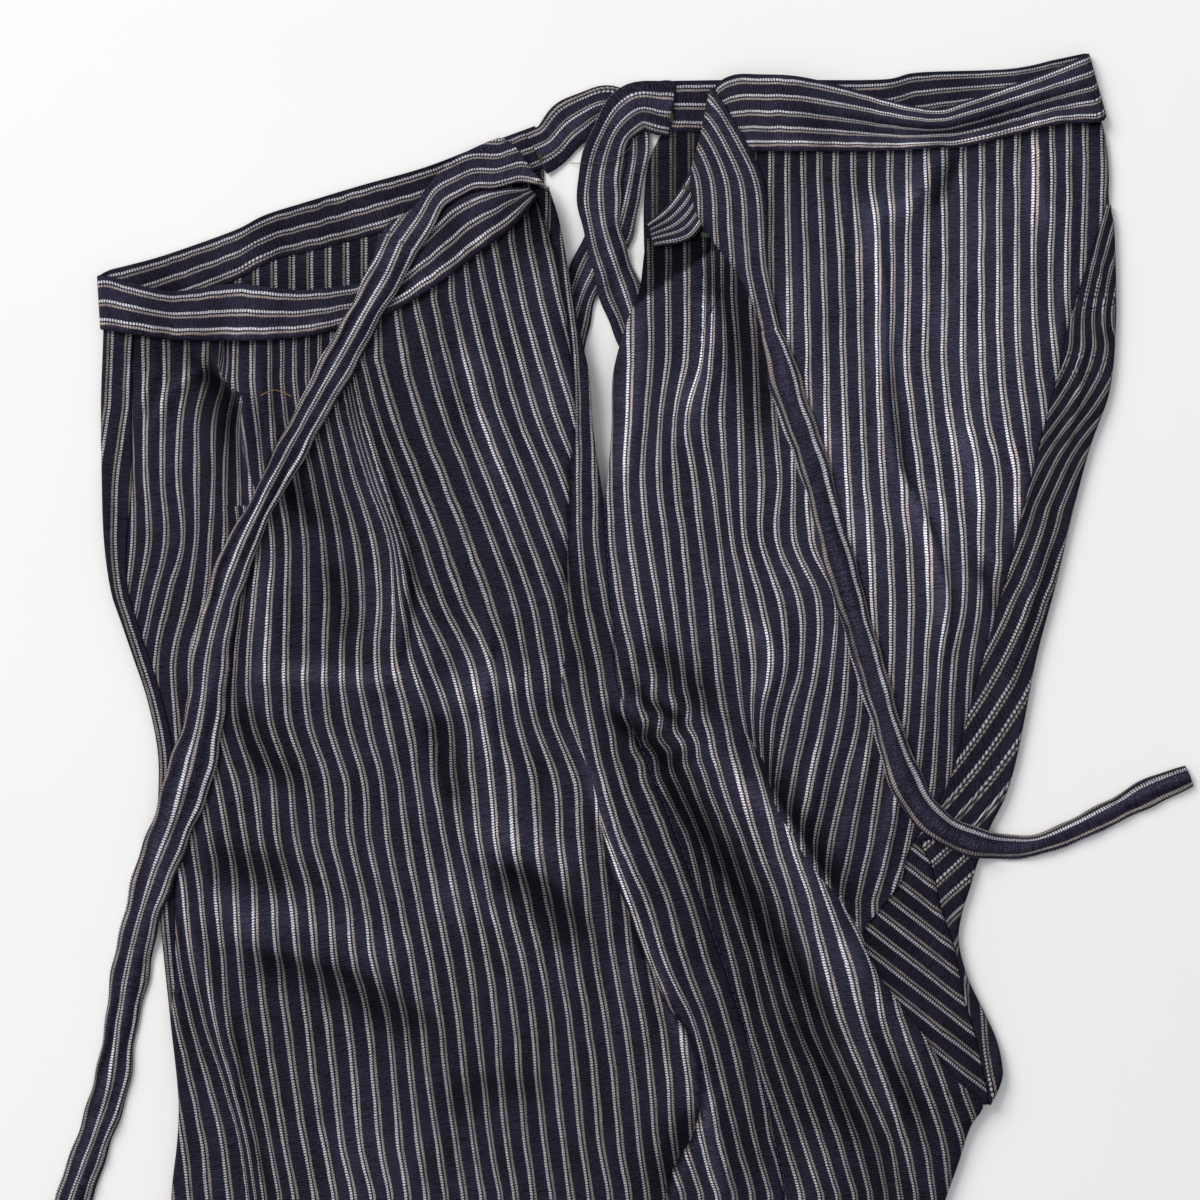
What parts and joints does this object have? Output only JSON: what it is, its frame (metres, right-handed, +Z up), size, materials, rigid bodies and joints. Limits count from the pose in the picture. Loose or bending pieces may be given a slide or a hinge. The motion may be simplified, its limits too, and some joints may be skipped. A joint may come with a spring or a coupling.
{
  "type": "monpe work trousers",
  "caption": "Loose striped cotton work trousers with waist ties and side slits, laid flat on their side with soft folds.",
  "frame": {"origin": "middle of the lay's box, on the table", "axes": "+Z up from the table, +Y from the hems towards the waist, +X from the front fold towards the back fold"},
  "size_m": [0.491, 0.9081, 0.0164],
  "materials": {
    "striped_cotton": "navy plain-weave cotton with pale and beige paired stripes, matt, soft",
    "band_cotton": "the same striped cotton, doubled, stripes along the band",
    "tie_cotton": "the same striped cotton, folded lengthwise and creased",
    "sewing_thread": "matt cotton thread, navy seams and grey-green bar tacks"
  },
  "bodies": {
    "root": {"front_left": "striped_cotton", "back_left": "striped_cotton", "front_right": "striped_cotton", "back_right": "striped_cotton", "seat_gusset": "striped_cotton", "crotch_gusset_left": "striped_cotton", "crotch_gusset_right": "striped_cotton", "inner_leg_left": "striped_cotton", "inner_leg_right": "striped_cotton", "hem_left": "striped_cotton", "hem_right": "striped_cotton", "waistband_front": "band_cotton", "waistband_back": "band_cotton", "tie_front_left": "tie_cotton", "tie_front_right": "tie_cotton", "tie_back_left": "tie_cotton", "tie_back_right": "tie_cotton"}
  },
  "joints": []
}
